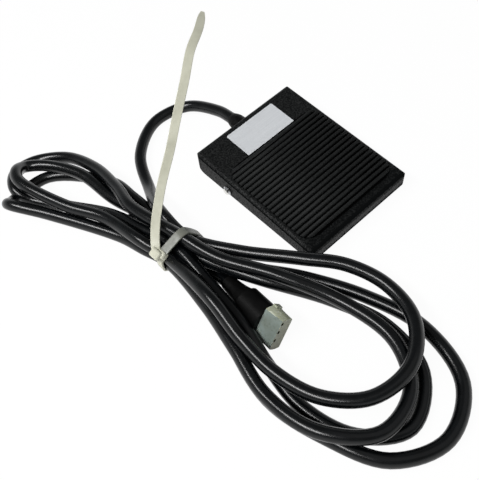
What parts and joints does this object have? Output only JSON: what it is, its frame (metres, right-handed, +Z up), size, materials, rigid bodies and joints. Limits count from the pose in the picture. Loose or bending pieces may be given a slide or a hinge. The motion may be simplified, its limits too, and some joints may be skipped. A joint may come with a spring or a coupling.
{
  "type": "sewing machine pedal",
  "caption": "Small treadle foot switch with a hinged ribbed tread on a stamped tray and a bundled cord ending in a round plug.",
  "frame": {"origin": "near the centre of the tread in plan, on the floor under the rubber feet", "axes": "+Z up, +Y from toe to heel, where the cord leaves, +X to the right seen from the toe"},
  "size_m": [0.1709, 0.2899, 0.0786],
  "materials": {
    "tread_paint": "fine textured powder coat",
    "pad_rubber": "matt",
    "label_foil": "satin",
    "stud_steel": "turned",
    "tray_paint": "powder coat",
    "pin_steel": "bright",
    "retainer_zinc": "yellow zinc",
    "bush_nylon": "natural nylon",
    "foot_rubber": "matt",
    "spring_steel": "drawn wire",
    "seat_steel": "turned",
    "stop_rubber": "matt",
    "switch_body": "moulded",
    "switch_lid": "moulded",
    "plunger_plastic": "moulded",
    "terminal_tin": "tinned",
    "bracket_zinc": "zinc plated",
    "rivet_steel": "plain",
    "screw_zinc": "zinc plated",
    "nut_brass": "plain",
    "core_black": "smooth",
    "core_white": "smooth",
    "core_green": "smooth",
    "ring_tin": "tinned",
    "screw_green": "green passivated",
    "grommet_nylon": "moulded",
    "cord_sheath": "glossy",
    "shell_plastic": "moulded",
    "housing_nylon": "translucent nylon",
    "contact_gold": "plated",
    "tie_nylon": "natural nylon"
  },
  "bodies": {
    "base": {"base_plate": "tray_paint", "hinge_pin": "pin_steel", "pin_retainers": "retainer_zinc", "hinge_bushings": "bush_nylon", "rubber_feet": "foot_rubber", "return_spring": "spring_steel", "spring_seat": "seat_steel", "stop_bumper": "stop_rubber", "switch_case": "switch_body", "switch_cover": "switch_lid", "switch_terminals": "terminal_tin", "switch_bracket": "bracket_zinc", "bracket_rivets": "rivet_steel", "switch_screws": "screw_zinc", "switch_nuts": "nut_brass", "wire_black": "core_black", "wire_white": "core_white", "wire_green": "core_green", "ring_terminal": "ring_tin", "ground_screw": "screw_green", "strain_relief": "grommet_nylon", "cord": "cord_sheath", "connector_backshell": "shell_plastic", "connector_housing": "housing_nylon", "connector_contacts": "contact_gold", "cable_tie": "tie_nylon", "tie_tail": "tie_nylon", "tie_head": "tie_nylon"},
    "tread": {"tread_cover": "tread_paint", "tread_pad": "pad_rubber", "label": "label_foil", "actuator_stud": "stud_steel"},
    "plunger": {"switch_plunger": "plunger_plastic"}
  },
  "joints": [
    {"name": "tread_hinge", "type": "hinge", "parent": "base", "child": "tread", "pos_m": [0, 0.02, 0.0105], "axis": [1, 0, 0], "range_deg": [0, 2.8], "stiffness_Nm_per_rad": 0.5, "springref_deg": -17.19, "deforming": ["return_spring"]},
    {"name": "plunger_slide", "type": "slide", "parent": "base", "child": "plunger", "axis": [0, 0, -1], "range_m": [0, 0.0012]}
  ],
  "couplings": [
    {"joint": "plunger_slide", "follows": "tread_hinge", "m_per_rad": 0.024}
  ]
}
